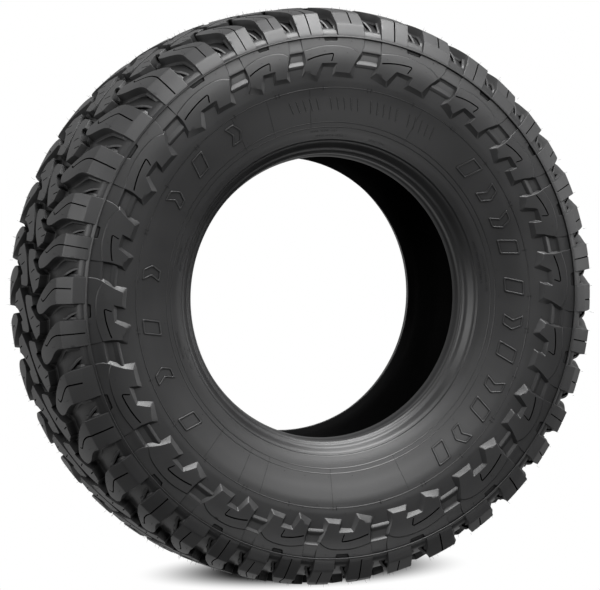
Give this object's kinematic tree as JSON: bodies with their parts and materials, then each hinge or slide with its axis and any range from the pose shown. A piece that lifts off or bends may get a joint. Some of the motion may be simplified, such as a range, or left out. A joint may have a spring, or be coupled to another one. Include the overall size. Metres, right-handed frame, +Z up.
{
  "type": "car tyre",
  "caption": "Wide mud-terrain tyre with staggered centre blocks, deep shoulder lugs, raised sidewall pads and open beads for a rim.",
  "frame": {"origin": "centre of the tyre, on its axis of rotation and midway between its two sides", "axes": "the tyre lies on its far side: +Z up along the axis of rotation, the pictured side on top; what is at the top of the picture is at +Y"},
  "size_m": [0.8839, 0.884, 0.3154],
  "materials": {
    "tyre": "matt charcoal rubber, grooves darker than the block tops"
  },
  "bodies": {
    "root": {"tyre": "tyre"}
  },
  "joints": []
}
